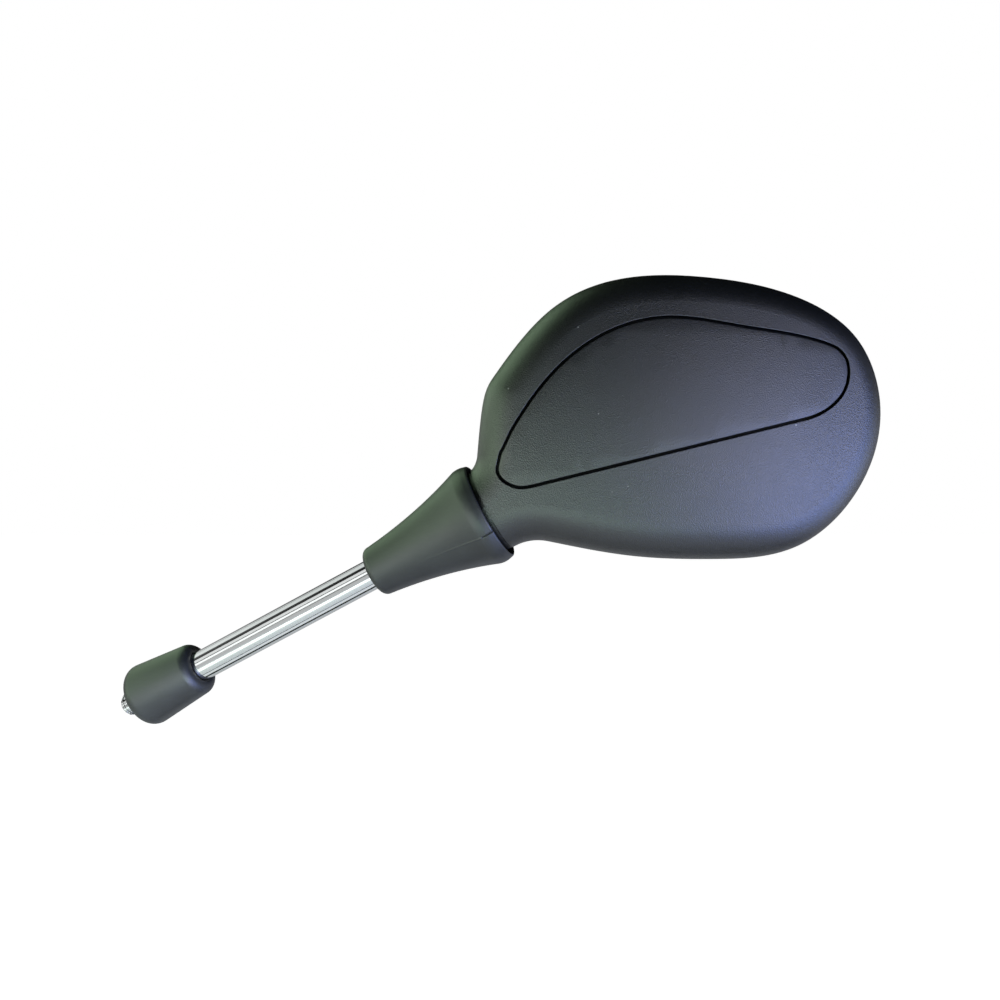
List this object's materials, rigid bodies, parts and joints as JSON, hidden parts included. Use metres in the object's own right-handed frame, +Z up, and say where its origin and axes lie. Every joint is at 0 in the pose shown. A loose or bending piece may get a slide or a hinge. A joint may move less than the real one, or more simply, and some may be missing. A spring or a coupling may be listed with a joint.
{
  "type": "motorcycle mirror",
  "caption": "Rear-view mirror with an egg-shaped black housing on a friction ball pivot, a flared rubber boot, a chromed stem and a threaded stud with lock nut and cap.",
  "frame": {"origin": "on the stud's axis, at the lower face of the lock nut, where it meets the handlebar boss", "axes": "+X outward from the vehicle, +Y rearward, the way the glass faces, +Z up"},
  "size_m": [0.2482, 0.0448, 0.1453],
  "materials": {
    "housing_plastic": "fine-grained moulded black",
    "nylon": "natural nylon",
    "rubber": "satin black",
    "chrome": "bright chrome plate",
    "zinc_plated_steel": "zinc plated",
    "spring_steel": "oiled dark",
    "cast_alloy": "as cast",
    "mirror_glass": "silvered convex glass"
  },
  "bodies": {
    "stem": {"stem": "chrome", "lock_nut": "zinc_plated_steel", "pivot_seat": "cast_alloy", "pivot_washer": "zinc_plated_steel", "disc_springs": "spring_steel", "spring_washer": "zinc_plated_steel", "pivot_nut": "zinc_plated_steel"},
    "boot": {"boot": "rubber"},
    "liner": {"friction_liner": "nylon"},
    "head": {"shell": "housing_plastic", "back_panel": "housing_plastic", "glass_holder": "housing_plastic", "mirror_glass": "mirror_glass"},
    "cap": {"lower_cap": "rubber"}
  },
  "joints": [
    {"name": "head_swivel", "type": "hinge", "parent": "stem", "child": "boot", "pos_m": [0.10647, -0.01614, 0.05733], "axis": [0.8727, -0.1323, 0.4699], "continuous": true},
    {"name": "head_nod", "type": "hinge", "parent": "boot", "child": "liner", "pos_m": [0.10647, -0.01614, 0.05733], "axis": [-0.4741, 0, 0.8805], "range_deg": [-12, 12]},
    {"name": "head_roll", "type": "hinge", "parent": "liner", "child": "head", "pos_m": [0.10647, -0.01614, 0.05733], "axis": [0.1164, 0.9912, 0.0627], "range_deg": [-5, 5]},
    {"name": "cap_slide", "type": "slide", "parent": "stem", "child": "cap", "axis": [0.8727, -0.1323, 0.4699], "range_m": [0, 0.045]}
  ]
}
